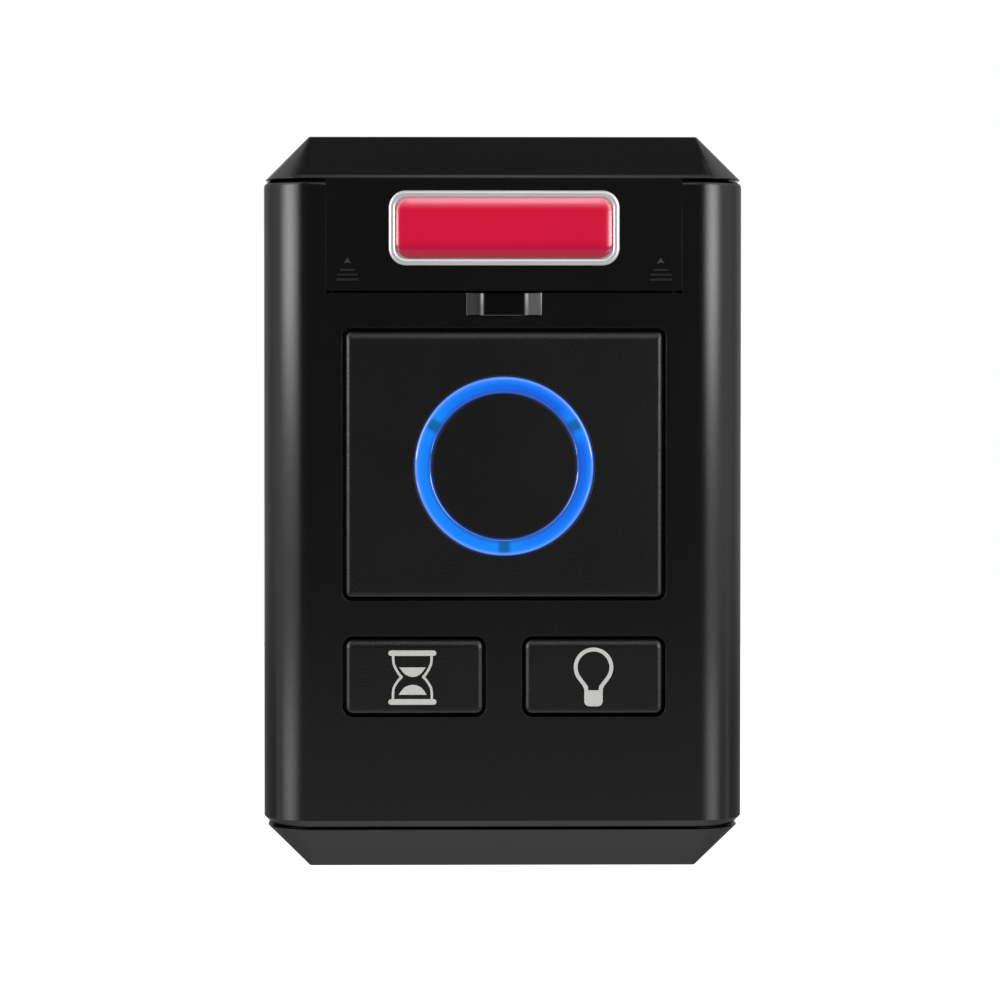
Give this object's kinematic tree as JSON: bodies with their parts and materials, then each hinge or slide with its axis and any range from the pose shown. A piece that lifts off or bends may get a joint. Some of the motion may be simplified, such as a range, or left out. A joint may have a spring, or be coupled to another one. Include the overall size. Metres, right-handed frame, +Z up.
{
  "type": "wireless wall console",
  "caption": "Battery-powered wall console: a large push button with a light ring, two small push buttons, a slide-off battery cover and a keyhole back.",
  "frame": {"origin": "centre of the back face, which lies against the wall", "axes": "+X to the right seen from the front, +Y into the wall, +Z up"},
  "size_m": [0.07, 0.0258, 0.107],
  "materials": {
    "shell_plastic": "satin black, fine moulded texture",
    "housing_plastic": "satin black, fine moulded texture",
    "button_plastic": "satin black, fine moulded texture",
    "rim_metal": "polished",
    "field_red": "glossy domed resin",
    "ring_blue": "lit translucent blue",
    "board_green": "solder resist",
    "led_clear": "clear",
    "baffle_white": "matt white",
    "chip_black": "matt",
    "shield_can": "tinned",
    "copper_wire": "enamelled copper",
    "capacitor_sleeve": "sleeved can",
    "cell_wrap": "plain printed wrap",
    "contact_nickel": "nickel plated",
    "lead_red": "insulated",
    "lead_black": "insulated",
    "screw_steel": "zinc plated",
    "switch_black": "matt",
    "plunger_white": "matt"
  },
  "bodies": {
    "console": {"front_shell": "shell_plastic", "rear_housing": "housing_plastic", "circuit_board": "board_green", "ring_leds": "led_clear", "light_baffle": "baffle_white", "controller_chip": "chip_black", "radio_module": "shield_can", "antenna_wire": "copper_wire", "smoothing_capacitor": "capacitor_sleeve", "battery_upper": "cell_wrap", "battery_lower": "cell_wrap", "contact_bridge": "contact_nickel", "positive_contact": "contact_nickel", "negative_contact": "contact_nickel", "upper_spring": "contact_nickel", "lower_spring": "contact_nickel", "positive_lead": "lead_red", "negative_lead": "lead_black", "case_screws": "screw_steel", "board_screws": "screw_steel", "door_switch_body": "switch_black", "timer_switch_body": "switch_black", "lamp_switch_body": "switch_black"},
    "cover": {"battery_cover": "shell_plastic", "nameplate_base": "rim_metal", "nameplate_face": "field_red"},
    "door_key": {"door_button": "button_plastic", "light_ring": "ring_blue"},
    "timer_key": {"timer_button": "button_plastic"},
    "lamp_key": {"lamp_button": "button_plastic"},
    "door_plunger": {"door_switch_plunger": "plunger_white"},
    "timer_plunger": {"timer_switch_plunger": "plunger_white"},
    "lamp_plunger": {"lamp_switch_plunger": "plunger_white"}
  },
  "joints": [
    {"name": "cover_slide", "type": "slide", "parent": "console", "child": "cover", "axis": [0, 0, 1], "range_m": [0, 0.025]},
    {"name": "door_press", "type": "slide", "parent": "console", "child": "door_key", "axis": [0, 1, 0], "range_m": [0, 0.0005], "stiffness_N_per_m": 1500},
    {"name": "door_switch", "type": "slide", "parent": "console", "child": "door_plunger", "axis": [0, 1, 0], "range_m": [0, 0.0005]},
    {"name": "timer_press", "type": "slide", "parent": "console", "child": "timer_key", "axis": [0, 1, 0], "range_m": [0, 0.0005], "stiffness_N_per_m": 1500},
    {"name": "timer_switch", "type": "slide", "parent": "console", "child": "timer_plunger", "axis": [0, 1, 0], "range_m": [0, 0.0005]},
    {"name": "lamp_press", "type": "slide", "parent": "console", "child": "lamp_key", "axis": [0, 1, 0], "range_m": [0, 0.0005], "stiffness_N_per_m": 1500},
    {"name": "lamp_switch", "type": "slide", "parent": "console", "child": "lamp_plunger", "axis": [0, 1, 0], "range_m": [0, 0.0005]}
  ],
  "couplings": [
    {"joint": "door_switch", "follows": "door_press", "ratio": 1},
    {"joint": "timer_switch", "follows": "timer_press", "ratio": 1},
    {"joint": "lamp_switch", "follows": "lamp_press", "ratio": 1}
  ]
}
